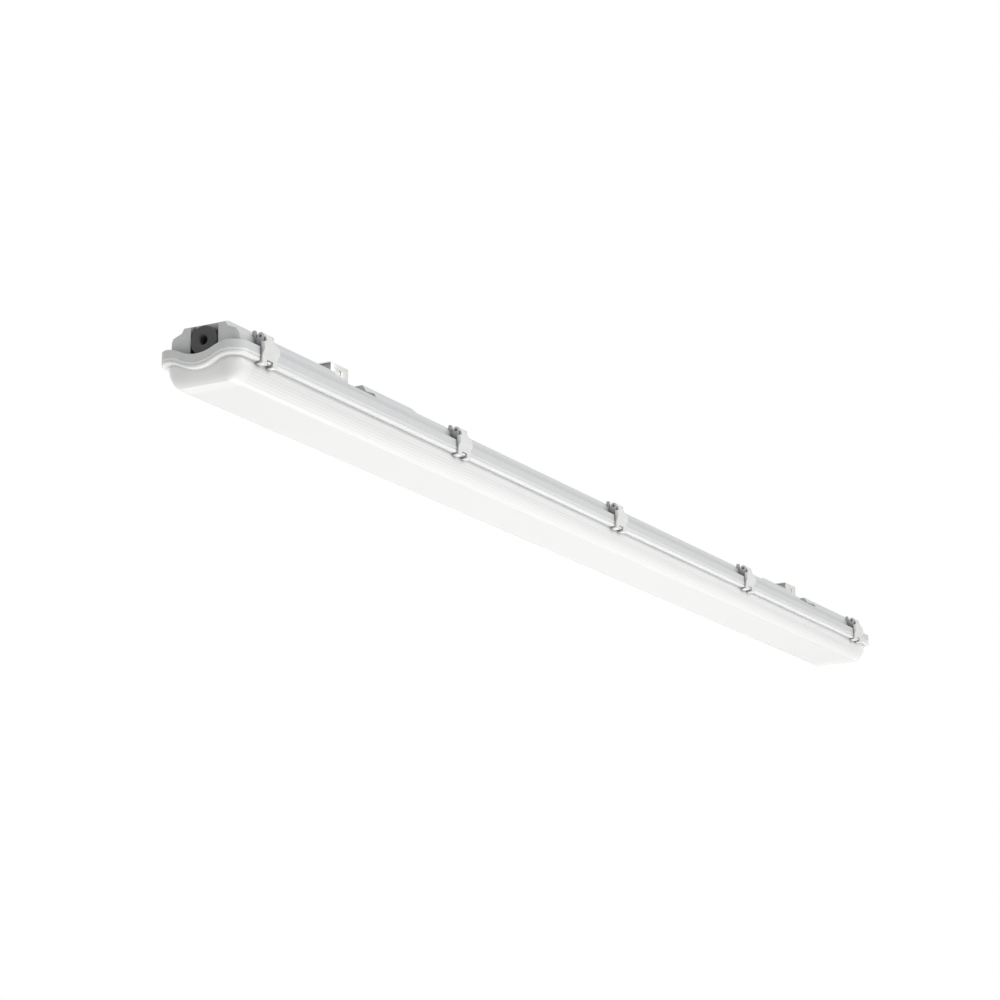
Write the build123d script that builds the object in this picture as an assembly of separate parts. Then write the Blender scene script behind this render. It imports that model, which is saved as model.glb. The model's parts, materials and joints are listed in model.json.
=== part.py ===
from build123d import *
import os
from math import hypot, radians, tan

# A sealed linear luminaire that hangs under a ceiling on two sliding brackets.
# While it is drawn, x runs along it from the middle of its length, y across it, and
# z stands up from the top edge of its rim. The finished pieces are moved so that
# the origin is midway between the two ceiling holes, in the ceiling plane.

# Overall form
length = 1562.0
width = 97.0
corner_radius = 18.0
overrun = 5.0                  # how far a cutter runs past what it cuts
reach = 2 * width              # taller and wider than anything that is trimmed

# Housing: a shell on a rim that dips in a wave at both ends
housing_wall = 2.5
ledge_width = 8.0              # rim edge to the foot of the long side wall
end_ledge = 12.5               # rim end to the end wall
body_height = 25.4
end_corner_radius = 5.5
rim_height = 7.5
rim_wall = 2.5
web_thickness = 2.5
skirt_depth = 5.0
dip_depth = 9.0
dip_shoulder = 3.0             # foot of the long side wall to where the dip begins
raised_left = 351.0            # length of the high deck at the left end
raised_right = 314.0
deck_drop = 3.3                # the middle deck lies this much lower
deck_slope = 8.0
end_drop = 2.7                 # the deck falls this much towards its ends, beside the entry recess
# Across the body: share of the foot's half width, and share of the body's height
section_shares = [(0.955, 0.4), (0.89, 0.56), (0.65, 0.715), (0.545, 1.0)]

# Saddles: gaps across the body, each with a rail for a bracket
saddle_start_left = 203.0      # from the left end to the saddle's left wall
saddle_start_right = 178.0     # from the right end to the saddle's right wall
saddle_length = 52.5
saddle_floor = 10.2
rail_neck_half = 12.0
rail_head_half = 14.5
rail_neck_height = 3.0
rail_head_height = 3.0

# Ceiling brackets: folded stainless channels whose lips ride under the rail heads
bracket_length = 31.0
bracket_width = 36.0
bracket_sheet = 1.2
bracket_bend = 2.0
bracket_rise = 11.9            # how far the bracket stands above the high deck
bracket_hole_radius = 2.75
side_hole_radius = 2.5
side_hole_drop = 9.0
rail_gap = 0.2                 # lip under rail head
lip_gap = 0.4                  # lip beside rail neck
bracket_end_gap = 0.5          # bracket to the saddle's wall

# Cable entry at the left end, and the same recess with a plug at the right end
entry_recess_width = 31.6
entry_recess_depth = 7.0
entry_height = 7.2
entry_hole_radius = 10.0
entry_face_radius = 14.8
entry_face_proud = 2.5         # rubber stands out of the end wall by this much
entry_flange_radius = 12.0
entry_flange_thickness = 2.5
entry_fit_gap = 0.1
entry_chamfer = 1.2
cable_radius = 4.25
cable_funnel = 1.5             # widening at the mouth of the cable hole

# Seal and diffuser
gasket_height = 2.5
seal_gap = 0.1
joint_gap = 0.3                # rim to diffuser flange
flange_thickness = 5.9
flange_end_width = 12.0
flange_edge_chamfer = 1.0
tongue_width = 3.0
tub_wall = 2.0
tub_inset = 6.0                # flange edge to the tub's side
tub_taper = 12.0               # how much further in the flat bottom's edge lies
tub_depth = 22.3               # flange underside to the flat bottom
tub_corner_radius = 15.0
tub_bottom_corner_radius = 9.0
# Down the tub: share of the taper, and share of the depth
tub_shares = [(0.0, 0.0), (0.055, 0.19), (0.22, 0.46), (0.49, 0.73), (0.74, 0.888), (1.0, 1.0)]
prism_pitch = 3.2              # width of one light-spreading ridge inside the tub
prism_height = 0.7
prism_end = 27.0               # the ridges stop this far from the ends

# Clips: five on each side, hinged on pins in lugs on the ledge
clips_per_side = 5
clip_end = 48.0                # rim end to the middle of the first clip
clip_end_right = 58.0
clip_width = 25.0
clip_arm_width = 12.5
clip_pin_inset = 3.4           # rim edge to the pin
clip_pin_height = 12.2
clip_pin_radius = 1.5
pin_clearance = 0.05
knuckle_radius = 3.8
clip_side_gap = 0.4            # plate to rim edge
clip_bulge = 4.0               # plate's outer face beyond the rim edge at its fullest
clip_top_thickness = 1.6
clip_toe_thickness = 2.0
bulge_share = 0.33             # height of the fullest part, down from the rim to the hook
waist_share = 0.58             # height where the plate has drawn in again, likewise
crown_flat_share = 0.3         # flat over the knuckle, as a share of its radius
crown_drop_share = 0.5         # arm's outer corner below the pin, likewise
hook_reach = 5.0
hook_gap = 0.4                 # hook under the flange
hook_thickness = 2.4
shoulder_height = 5.5          # top of the wide plate
shoulder_fillet = 4.0
clip_corner_fillet = 1.2
notch_width = 10.0
notch_height = 5.2
lug_thickness = 2.2
lug_gap = 0.3
lug_bump_height = 18.6
lug_bump_width = 4.6
lug_bump_inset = 0.6           # foot of the long side wall to the bump's outer side
lug_bump_chamfer = 0.9
tooth_width = 6.0
tooth_reach = 1.8
tooth_height = 1.7

# Gear tray: painted sheet that carries everything electrical
tray_sheet = 0.8
tray_side_gap = 8.0            # tray to the housing's side wall
tray_side_height = 7.0
tray_end_gap = 8.0             # tray end to the housing's end wall
tray_drop = 2.0                # tray's upper face below the rim's top edge
post_radius = 4.5
post_half_spacing = 20.0
screw_radius = 1.5
screw_clearance = 0.1
screw_depth = 8.0
screw_head_radius = 3.6
screw_head_height = 2.2

# Light-emitting boards under the tray
board_count = 5
board_end_gap = 2.0            # tray end to the first board
board_gap = 8.0
board_width = 20.0
board_thickness = 1.6
board_screw_inset = 6.0
board_screw_radius = 1.2
board_screw_head = 2.4
board_screw_head_height = 1.4
lights_per_board = 16
light_size = 3.0
light_height = 0.7
link_length = 22.0
link_width = 4.0
link_height = 2.2
link_offset = 6.5
feed_length = 9.0
feed_width = 7.0
feed_height = 3.2
feed_offset = -5.6             # beside the row of lights
feed_gap = 12.0                # board end to the feed connector
fed_after_count = 2            # boards to the left of the lead hole

# Driver on top of the tray, in the bay between the left saddle and the lead hole
driver_end_room = 45.0         # free tray at each end of it
driver_width = 30.0
driver_top_gap = 3.5           # driver to the middle deck above it
driver_wall = 1.0
driver_foot = 11.0
driver_slot_width = 18.0
driver_slot_height = 4.5
driver_slot_sill = 2.6         # above the driver's base
driver_board_gap = 0.1
driver_board_end_gap = 8.0
driver_screw_radius = 1.7
driver_screw_head = 3.2
driver_screw_head_height = 2.0

# Terminal block and wires
terminal_start = 70.0          # from the left end
terminal_length = 20.0
terminal_pole_pitch = 10.0
terminal_poles = 3
terminal_height = 16.0
terminal_hole_radius = 1.7
terminal_hole_height = 6.0
terminal_hole_depth = 7.0
terminal_well_radius = 2.6
terminal_well_depth = 7.0
terminal_screw_radius = 2.3
terminal_screw_height = 4.0
wire_radius = 1.1
wire_tail = 3.0                # length of wire inside a hole
bend_share = 0.45              # of the shorter run beside a bend, used up by its arc
wire_spread = 5.0              # half spacing of the two wires at the driver
lead_radius = 0.8
lead_spread = 1.6
lead_hole_radius = 3.2
earth_start = 128.0            # from the left end
earth_offset = 13.0
earth_plate = 1.0
earth_ring_radius = 4.0
earth_barrel_length = 9.0
earth_screw_radius = 1.9
earth_head_radius = 3.4
earth_head_height = 2.2

# Heights and places worked out from the sizes above
left_end = -length / 2
foot_half = width / 2 - ledge_width
dip_half_span = foot_half - dip_shoulder
body_half_length = length / 2 - end_ledge
bracket_top = body_height + bracket_rise
clip_pitch = (length - clip_end - clip_end_right) / (clips_per_side - 1)
clip_places = [left_end + clip_end + i * clip_pitch for i in range(clips_per_side)]
pin_half = width / 2 - clip_pin_inset
lug_inside = clip_arm_width / 2 + lug_gap
gasket_bottom = -web_thickness - gasket_height
flange_top = -rim_height - joint_gap
flange_bottom = flange_top - flange_thickness
tray_top = -tray_drop
tray_half_width = foot_half - housing_wall - tray_side_gap
tray_bottom = tray_top - tray_sheet
tray_half_length = body_half_length - entry_recess_depth - housing_wall - tray_end_gap
board_bottom = tray_bottom - board_thickness
board_pitch = (2 * (tray_half_length - board_end_gap) + board_gap) / board_count
board_length = board_pitch - board_gap
board_starts = [board_end_gap - tray_half_length + i * board_pitch for i in range(board_count)]
saddles = [left_end + saddle_start_left, -left_end - saddle_start_right - saddle_length]
saddle_middles = [start + saddle_length / 2 for start in saddles]
bracket_middles = [start + bracket_end_gap + bracket_length / 2 for start in saddles]
mount_middle = sum(bracket_middles) / len(bracket_middles)
entry_axis_x = body_half_length - entry_recess_depth      # outer face of the recessed wall
lead_hole_x = board_starts[fed_after_count] - board_gap / 2
feed_start = board_starts[fed_after_count] + feed_gap
driver_left = saddles[0] + saddle_length + housing_wall + driver_end_room
driver_right = lead_hole_x - lead_hole_radius - driver_end_room
driver_floor = tray_top + tray_sheet
driver_top = body_height - deck_drop - housing_wall - driver_top_gap
post_places = [
    (x, side * post_half_spacing, top)
    for x, top in [
        (saddle_middles[0], saddle_floor),
        (sum(saddle_middles) / len(saddle_middles), body_height - deck_drop),
        (saddle_middles[1], saddle_floor),
    ]
    for side in (-1, 1)
]


# A box given by its two ends along x, y and z
def block(x_ends, y_ends, z_ends):
    size = [max(ends) - min(ends) for ends in (x_ends, y_ends, z_ends)]
    middle = [(max(ends) + min(ends)) / 2 for ends in (x_ends, y_ends, z_ends)]
    return Pos(*middle) * Box(*size)


# A round bar along x or z, from one end to the other
def bar_x(radius, x_ends, y, z):
    middle = Pos((x_ends[0] + x_ends[1]) / 2, y, z) * Rot(0, 90, 0)
    return middle * Cylinder(radius, abs(x_ends[1] - x_ends[0]))


def bar_z(radius, x, y, z_ends):
    return Pos(x, y, (z_ends[0] + z_ends[1]) / 2) * Cylinder(radius, abs(z_ends[1] - z_ends[0]))


# A section drawn across the luminaire, as (y, z) points, carried along x
def along(points, x_ends):
    face = make_face(Polyline(*points, close=True))
    return Pos(x_ends[0], 0, 0) * extrude(Plane.YZ * face, x_ends[1] - x_ends[0])


# The rounded plan of the rim, drawn in by an inset at the sides and another at the ends
def pillar(side_inset, end_inset=None, radius=None):
    end_inset = side_inset if end_inset is None else end_inset
    radius = max(corner_radius - side_inset, housing_wall) if radius is None else radius
    plan = RectangleRounded(length - 2 * end_inset, width - 2 * side_inset, radius)
    return extrude(plan, reach / 2, both=True)


# The line of the rim across the luminaire: level, with a smooth dip in the middle
def wave_line(level):
    half = dip_half_span
    middle = level - dip_depth / 2
    return [
        Line((-reach, level), (-half, level)),
        TangentArc((-half, level), (-half / 2, middle), tangent=(1, 0)),
        ThreePointArc((-half / 2, middle), (0, level - dip_depth), (half / 2, middle)),
        TangentArc((half, level), (half / 2, middle), tangent=(-1, 0)),
        Line((half, level), (reach, level)),
    ]


# Everything between two such lines, over the whole length
def wave_slab(top, bottom):
    sides = [Line((side * reach, top), (side * reach, bottom)) for side in (-1, 1)]
    face = make_face(wave_line(top) + wave_line(bottom) + sides)
    return extrude(Plane.YZ * face, length / 2 + overrun, both=True)


def wave_ring(top, bottom, outer, inner):
    return wave_slab(top, bottom) & (outer - inner)


# The body's section, drawn in by an inset; its side leans out until well below the rim
def body_section(inset):
    wide_share, high_share = section_shares[0]
    depth = reach / 4
    lean = depth * (1 - wide_share) * foot_half / (high_share * body_height)
    right = [(foot_half + lean - inset, -depth)]
    right += [(w * foot_half - inset, h * body_height - inset) for w, h in section_shares]
    return right + [(-y, z) for y, z in reversed(right)]


# The body filled solid: long section, rounded upright corners, lower middle deck, sloping ends
def body_block(inset):
    half = body_half_length - inset
    plan = RectangleRounded(2 * half, 2 * (foot_half - inset), end_corner_radius - inset)
    ends = (-length / 2, length / 2)
    solid = along(body_section(inset), ends) & extrude(plan, reach / 2, both=True)
    high = body_height - inset
    low = high - deck_drop
    start = left_end + raised_left
    end = -left_end - raised_right
    deck = Polyline(
        (start, high + overrun), (start, high), (start + deck_slope, low),
        (end - deck_slope, low), (end, high), (end, high + overrun), close=True,
    )
    solid -= extrude(Plane.XZ * make_face(deck), width, both=True)
    for side in (-1, 1):
        slope = Polyline(
            (side * (half - entry_recess_depth), high), (side * half, high - end_drop),
            (side * (half + overrun), high - end_drop), (side * (half + overrun), high + overrun),
            (side * (half - entry_recess_depth), high + overrun), close=True,
        )
        solid -= extrude(Plane.XZ * make_face(slope), width, both=True)
    return solid


# One saddle gap, or with a margin the space that its walls and floor take inside
def saddle_gap(start, margin):
    ends = (start - margin, start + saddle_length + margin)
    return block(ends, (-width, width), (saddle_floor - margin, body_height + overrun))


# The recess round a cable entry, open above and outwards; side is -1 at the left end
def entry_recess(side, margin):
    half = entry_recess_width / 2 + margin
    ends = (side * (entry_axis_x - margin), side * (length / 2 + overrun))
    return block(ends, (-half, half), (-reach / 4, body_height + overrun))


def rail(start):
    head = saddle_floor + rail_neck_height
    top = head + rail_head_height
    right = [
        (rail_neck_half, saddle_floor - housing_wall / 2), (rail_neck_half, head),
        (rail_head_half, head), (rail_head_half, top),
    ]
    return along(right + [(-y, z) for y, z in reversed(right)], (start, start + saddle_length))


# One clip lug, seen from the end: a bump against the body, a valley and a round boss
def lug(side):
    foot = -web_thickness / 2
    outer = width / 2 - lug_gap
    low = clip_pin_height - knuckle_radius / 4
    bump = foot_half - lug_bump_inset
    points = [
        (foot_half - housing_wall / 2, foot), (outer, foot), (outer, clip_pin_height),
        (pin_half, clip_pin_height), (pin_half - knuckle_radius, low), (bump, low),
        (bump, lug_bump_height - lug_bump_chamfer), (bump - lug_bump_chamfer, lug_bump_height),
        (bump - lug_bump_width + lug_bump_chamfer, lug_bump_height),
        (bump - lug_bump_width, section_shares[1][1] * body_height),
        (foot_half - 3 * housing_wall / 2, clip_pin_height),
    ]
    web = along([(side * y, z) for y, z in points], (0, lug_thickness))
    boss = bar_x(knuckle_radius, (0, lug_thickness), side * pin_half, clip_pin_height)
    return web + boss


def lug_pair(x, side):
    one = lug(side)
    return [Pos(x + lug_inside, 0, 0) * one, Pos(x - lug_inside - lug_thickness, 0, 0) * one]


def pin_axis_bar(x, side, radius, half_length):
    return bar_x(radius, (x - half_length, x + half_length), side * pin_half, clip_pin_height)


def housing():
    outer = body_block(0) - wave_slab(-web_thickness, -reach / 2)
    outer += wave_slab(0, -web_thickness) & pillar(0)
    hollow = body_block(housing_wall)
    for start in saddles:
        outer -= saddle_gap(start, 0)
        hollow -= saddle_gap(start, housing_wall)
    for side in (-1, 1):
        outer -= entry_recess(side, 0) - wave_slab(0, -reach / 2)
        hollow -= entry_recess(side, housing_wall)
    for x, y, top in post_places:
        hollow -= bar_z(post_radius, x, y, (tray_top, top))
    shell = outer - hollow
    seat = -web_thickness / 2
    shell += wave_ring(seat, -rim_height, pillar(0), pillar(rim_wall))
    shell += wave_ring(seat, -skirt_depth, pillar(ledge_width), pillar(ledge_width + housing_wall))
    for start in saddles:
        shell += rail(start)
    for side in (-1, 1):
        for x in clip_places:
            shell += lug_pair(x, side)
            half = lug_inside + lug_thickness + overrun
            shell -= pin_axis_bar(x, side, clip_pin_radius + pin_clearance, half)
        ends = (side * (entry_axis_x - housing_wall - overrun), side * (entry_axis_x + overrun))
        shell -= bar_x(entry_hole_radius + entry_fit_gap, ends, 0, entry_height)
    for x, y, top in post_places:
        shell -= bar_z(screw_radius + screw_clearance, x, y, (tray_top - overrun, tray_top + screw_depth))
    return shell


def gasket():
    outer = pillar(rim_wall + seal_gap)
    inner = pillar(ledge_width - seal_gap)
    return wave_ring(-web_thickness - seal_gap, gasket_bottom, outer, inner)


# Plan insets and heights of the tub's levels, from the flange down; shell draws them in
def tub_levels(shell):
    levels = [(tub_inset + shell, flange_top, tub_corner_radius - shell)]
    for taper_share, depth_share in tub_shares:
        inset = tub_inset + shell + taper_share * tub_taper
        radius = tub_corner_radius + taper_share * (tub_bottom_corner_radius - tub_corner_radius)
        levels.append((inset, flange_bottom - depth_share * (tub_depth - shell), radius - shell))
    return levels


def tub_block(shell):
    rings = []
    for inset, z, radius in tub_levels(shell):
        plan = RectangleRounded(length - 2 * inset, width - 2 * inset, radius)
        rings.append(Pos(0, 0, z) * plan)
    return loft(rings, ruled=True)


# The tub's section as a line from one flange down, across and up to the other
def tub_line(shell):
    right = [(width / 2 - inset, z) for inset, z, _ in tub_levels(shell)[1:]]
    return [(-y, z) for y, z in right] + list(reversed(right))


# The ridges that spread the light run along the inside of the tub
def prisms():
    crests = []
    line = tub_line(tub_wall)
    for (y0, z0), (y1, z1) in zip(line, line[1:]):
        run = hypot(y1 - y0, z1 - z0)
        count = max(1, round(run / prism_pitch))
        inward = (-(z1 - z0) / run * prism_height, (y1 - y0) / run * prism_height)
        for i in range(count):
            valley, crest = i / count, (i + 0.5) / count
            crests.append((y0 + valley * (y1 - y0), z0 + valley * (z1 - z0)))
            crests.append((y0 + crest * (y1 - y0) + inward[0], z0 + crest * (z1 - z0) + inward[1]))
    crests.append(line[-1])
    half = length / 2 - tub_inset - prism_end
    return along(crests + list(reversed(tub_line(tub_wall / 2))), (-half, half))


def diffuser():
    tub = tub_block(0) - tub_block(tub_wall)
    tub -= wave_slab(reach / 2, flange_top)
    hole = pillar(tub_inset + tub_wall, flange_end_width, tub_corner_radius - tub_wall)
    tub += wave_ring(flange_top, flange_bottom, pillar(0), hole)
    tongue_inset = rim_wall + (ledge_width - rim_wall - tongue_width) / 2
    ring = pillar(tongue_inset), pillar(tongue_inset + tongue_width)
    tub += wave_ring(gasket_bottom - seal_gap, flange_top, *ring)
    tub += prisms()
    for side in (-1, 1):
        edge = side * width / 2
        lip = [(edge, flange_bottom), (edge - side * flange_edge_chamfer, flange_bottom),
               (edge, flange_bottom + flange_edge_chamfer)]
        tub -= along(lip, (left_end + corner_radius, -left_end - corner_radius))
        for x in clip_places:
            tub += block(
                (x - tooth_width / 2, x + tooth_width / 2),
                (edge - side * 2 * flange_edge_chamfer, edge + side * tooth_reach),
                (flange_bottom, flange_bottom + tooth_height),
            )
    return tub


# One clip, closed. Its section goes over the knuckle, down past the rim and under the flange
def clip(x, side):
    edge = width / 2
    inner = edge + clip_side_gap
    hook_top = flange_bottom - hook_gap
    toe = hook_top - hook_thickness
    top = clip_pin_height + knuckle_radius
    flat_end = (pin_half + crown_flat_share * knuckle_radius, top)
    crown = (inner + clip_top_thickness, clip_pin_height - crown_drop_share * knuckle_radius)
    full = (edge + clip_bulge, hook_top * bulge_share)
    waist = (inner + clip_toe_thickness, hook_top * waist_share)
    section = make_face([
        Line((pin_half, top), flat_end),
        Line(flat_end, crown),
        Spline(crown, full, waist, tangents=[(0.3, -1), (0, -1)]),
        Line(waist, (inner + clip_toe_thickness, toe)),
        Line((inner + clip_toe_thickness, toe), (edge - hook_reach, toe)),
        Line((edge - hook_reach, toe), (edge - hook_reach, hook_top)),
        Line((edge - hook_reach, hook_top), (inner, hook_top)),
        Line((inner, hook_top), (inner, shoulder_height)),
        Line((inner, shoulder_height), (pin_half, clip_pin_height - knuckle_radius)),
        Line((pin_half, clip_pin_height - knuckle_radius), (pin_half, top)),
    ])
    form = extrude(Plane.YZ * section, clip_width / 2, both=True)
    arm, wide = clip_arm_width / 2, clip_width / 2
    over = top + overrun
    for end in (-1, 1):
        form -= block(
            (end * arm, end * (wide + overrun)),
            (0, pin_half + knuckle_radius + lug_gap), (shoulder_height, over),
        )
    form += bar_x(knuckle_radius, (-arm, arm), pin_half, clip_pin_height)
    front = Polyline(
        (-arm, over), (-arm, shoulder_height), (-wide, shoulder_height), (-wide, toe),
        (wide, toe), (wide, shoulder_height), (arm, shoulder_height), (arm, over), close=True,
    )
    front = make_face(front)
    inside = [v for v in front.vertices() if abs(abs(v.X) - arm) < seal_gap and v.Y < top]
    front = fillet(inside, shoulder_fillet)
    outside = [v for v in front.vertices() if abs(abs(v.X) - wide) < seal_gap]
    front = fillet(outside, clip_corner_fillet)
    form &= extrude(Plane.XZ * front, width, both=True)
    form -= block(
        (-notch_width / 2, notch_width / 2), (0, width), (toe - overrun, toe + notch_height)
    )
    form -= bar_x(clip_pin_radius + pin_clearance, (-clip_width, clip_width), pin_half, clip_pin_height)
    if side < 0:
        form = Rot(0, 0, 180) * form
    return Pos(x, 0, 0) * form


def clip_pins():
    half = lug_inside + lug_thickness
    return [pin_axis_bar(x, side, clip_pin_radius, half) for side in (-1, 1) for x in clip_places]


def bracket(middle):
    lip_top = saddle_floor + rail_neck_height - rail_gap
    bottom = lip_top - bracket_sheet
    height = bracket_top - bottom
    outside = RectangleRounded(bracket_width, height, bracket_bend)
    inside = RectangleRounded(
        bracket_width - 2 * bracket_sheet, height - 2 * bracket_sheet, bracket_bend - bracket_sheet
    )
    slot = Pos(0, -height / 2) * Rectangle(2 * (rail_neck_half + lip_gap), 2 * bracket_bend)
    section = Pos(0, (bracket_top + bottom) / 2) * (outside - inside - slot)
    form = extrude(Plane.YZ * section, bracket_length / 2, both=True)
    form -= bar_z(bracket_hole_radius, 0, 0, (bracket_top - overrun, bracket_top + overrun))
    side_hole = Rot(90, 0, 0) * Cylinder(side_hole_radius, 2 * bracket_width)
    form -= Pos(0, 0, bracket_top - side_hole_drop) * side_hole
    return Pos(middle, 0, 0) * form


# A rubber body seated in the recessed wall: a thick face, a neck and a retaining flange
def entry_rubber(side):
    front = entry_axis_x + entry_recess_depth + entry_face_proud
    wall_in = entry_axis_x - housing_wall
    back = wall_in - entry_fit_gap - entry_flange_thickness
    profile = [
        (0, front), (entry_face_radius - entry_chamfer, front),
        (entry_face_radius, front - entry_chamfer), (entry_face_radius, entry_axis_x + entry_fit_gap),
        (entry_hole_radius, entry_axis_x + entry_fit_gap), (entry_hole_radius, wall_in - entry_fit_gap),
        (entry_flange_radius, wall_in - entry_fit_gap), (entry_flange_radius, back), (0, back),
    ]
    face = make_face(Polyline(*profile, close=True))
    form = Rot(0, side * 90, 0) * revolve(Plane.XZ * face, Axis.Z)
    return Pos(0, 0, entry_height) * form


def cable_grommet():
    face = -(entry_axis_x + entry_recess_depth + entry_face_proud)
    form = entry_rubber(-1)
    form -= bar_x(cable_radius, (face - overrun, -entry_axis_x + reach), 0, entry_height)
    funnel = Cone(cable_radius, cable_radius + cable_funnel, cable_funnel)
    return form - Pos(face + cable_funnel / 2, 0, entry_height) * Rot(0, -90, 0) * funnel


def gear_tray():
    half = tray_half_width
    side_top = tray_top + tray_side_height
    right = [(half, tray_bottom), (half, side_top), (half - tray_sheet, side_top),
             (half - tray_sheet, tray_top)]
    points = right + [(-y, z) for y, z in reversed(right)]
    tray = along(points, (-tray_half_length, tray_half_length))
    ends = (tray_bottom - overrun, tray_top + overrun)
    for x, y, _ in post_places:
        tray -= bar_z(screw_radius + screw_clearance, x, y, ends)
    for x, y in board_screw_places():
        tray -= bar_z(board_screw_radius + screw_clearance, x, y, ends)
    for x in driver_screw_places():
        tray -= bar_z(driver_screw_radius + screw_clearance, x, 0, ends)
    tray -= bar_z(earth_screw_radius + screw_clearance, *earth_place(), ends)
    return tray - bar_z(lead_hole_radius, lead_hole_x, feed_offset, ends)


# A pan-head screw along z: the head sits on z_seat, the shank goes the other way
def screw(radius, head_radius, head_height, shank, x, y, z_seat, head_side):
    head = bar_z(head_radius, x, y, (z_seat, z_seat + head_side * head_height))
    return head + bar_z(radius, x, y, (z_seat, z_seat - head_side * shank))


def tray_screws():
    shank = tray_sheet + screw_depth - screw_radius
    return [
        screw(screw_radius, screw_head_radius, screw_head_height, shank, x, y, tray_bottom, -1)
        for x, y, _ in post_places
    ]


def board_screw_places():
    return [
        (x, 0) for start in board_starts
        for x in (start + board_screw_inset, start + board_length - board_screw_inset)
    ]


def led_board(start):
    half = board_width / 2
    board = block((start, start + board_length), (-half, half), (board_bottom, tray_bottom))
    for x, y in board_screw_places():
        if start < x < start + board_length:
            ends = (board_bottom - overrun, tray_bottom + overrun)
            board -= bar_z(board_screw_radius + screw_clearance, x, y, ends)
    return board


def board_screws():
    shank = board_thickness + tray_sheet
    sizes = board_screw_radius, board_screw_head, board_screw_head_height, shank
    return [screw(*sizes, x, y, board_bottom, -1) for x, y in board_screw_places()]


def led_packages():
    pitch = (board_length - 2 * link_length) / (lights_per_board - 1)
    half = light_size / 2
    lights = []
    for start in board_starts:
        for i in range(lights_per_board):
            x = start + link_length + i * pitch
            ends = (board_bottom - light_height, board_bottom)
            lights.append(block((x - half, x + half), (-half, half), ends))
    return lights


def link_connectors():
    links = []
    for start in board_starts[1:]:
        x = start - board_gap / 2
        links.append(block(
            (x - link_length / 2, x + link_length / 2),
            (link_offset - link_width / 2, link_offset + link_width / 2),
            (board_bottom - link_height, board_bottom),
        ))
    return links


def feed_connector():
    half = feed_width / 2
    form = block(
        (feed_start, feed_start + feed_length), (feed_offset - half, feed_offset + half),
        (board_bottom - feed_height, board_bottom),
    )
    for side in (-1, 1):
        ends = (feed_start - overrun, feed_start + wire_tail)
        z = board_bottom - feed_height / 2
        form -= bar_x(lead_radius + screw_clearance, ends, feed_offset + side * lead_spread, z)
    return form


def driver_screw_places():
    return [driver_left - driver_foot / 2, driver_right + driver_foot / 2]


def driver_base():
    half = driver_width / 2
    ends = (driver_left - driver_foot, driver_right + driver_foot)
    plate = block(ends, (-half, half), (tray_top, driver_floor))
    for x in driver_screw_places():
        ends = (tray_top - overrun, driver_floor + overrun)
        plate -= bar_z(driver_screw_radius + screw_clearance, x, 0, ends)
    return plate


def driver_cover():
    half = driver_width / 2
    box = block((driver_left, driver_right), (-half, half), (driver_floor, driver_top))
    box -= block(
        (driver_left + driver_wall, driver_right - driver_wall),
        (-half + driver_wall, half - driver_wall), (driver_floor - overrun, driver_top - driver_wall),
    )
    sill = driver_floor + driver_slot_sill
    return box - block(
        (driver_left - overrun, driver_right + overrun),
        (-driver_slot_width / 2, driver_slot_width / 2), (sill, sill + driver_slot_height),
    )


# The driver's circuit board, with a transformer, a choke and two capacitors standing on it
def driver_board():
    half = driver_width / 2 - driver_wall - driver_board_gap
    ends = (driver_left + driver_board_end_gap, driver_right - driver_board_end_gap)
    z = driver_floor + board_thickness
    form = block(ends, (-half, half), (z, z + board_thickness))
    z += board_thickness
    room = driver_top - driver_wall - driver_board_gap - z
    run = ends[1] - ends[0]
    core_shares = [(0.22, 0.10, 0.7, 0.85), (0.46, 0.08, 0.6, 0.7)]
    for at_share, long_share, wide_share, high_share in core_shares:
        middle = ends[0] + at_share * run
        size = long_share * run / 2
        form += block(
            (middle - size, middle + size), (-wide_share * half, wide_share * half),
            (z - board_thickness / 2, z + high_share * room),
        )
    can_radius_share, can_shares = 0.33, (0.66, 0.75)
    for at_share in can_shares:
        can_ends = (z - board_thickness / 2, z + room)
        form += bar_z(can_radius_share * half, ends[0] + at_share * run, 0, can_ends)
    return form


def driver_screws():
    sizes = driver_screw_radius, driver_screw_head, driver_screw_head_height, 2 * tray_sheet
    return [screw(*sizes, x, 0, driver_floor, 1) for x in driver_screw_places()]


def pole_places():
    first = -(terminal_poles - 1) / 2 * terminal_pole_pitch
    return [first + i * terminal_pole_pitch for i in range(terminal_poles)]


def terminal_block():
    start = left_end + terminal_start
    end = start + terminal_length
    half = terminal_poles * terminal_pole_pitch / 2
    top = tray_top + terminal_height
    form = block((start, end), (-half, half), (tray_top, top))
    z = tray_top + terminal_hole_height
    for y in pole_places():
        form -= bar_x(terminal_hole_radius, (start - overrun, start + terminal_hole_depth), y, z)
        form -= bar_x(terminal_hole_radius, (end - terminal_hole_depth, end + overrun), y, z)
        ends = (top - terminal_well_depth, top + overrun)
        form -= bar_z(terminal_well_radius, start + terminal_length / 2, y, ends)
    return form


def terminal_screws():
    z = tray_top + terminal_height - terminal_well_depth
    x = left_end + terminal_start + terminal_length / 2
    slot = block(
        (x - terminal_well_radius, x + terminal_well_radius), (-lead_radius / 2, lead_radius / 2),
        (z + terminal_screw_height - lead_radius, z + terminal_screw_height + overrun),
    )
    return [
        bar_z(terminal_screw_radius, x, y, (z, z + terminal_screw_height)) - Pos(0, y, 0) * slot
        for y in pole_places()
    ]


# A round wire along straight runs joined by arcs, each as large as its two runs allow
def wire(points, radius):
    places = [Vector(*p) for p in points]
    radii = []
    for before, here, after in zip(places, places[1:], places[2:]):
        turn = radians((here - before).get_angle(after - here))
        shorter = min((here - before).length, (after - here).length)
        radii.append(bend_share * shorter / tan(turn / 2))
    print("wire radius", radius, "bend radii", [round(r, 1) for r in radii])
    path = FilletPolyline(*points, radius=radii)
    return sweep(Plane(origin=path @ 0, z_dir=path % 0) * Circle(radius), path=path)


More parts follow.
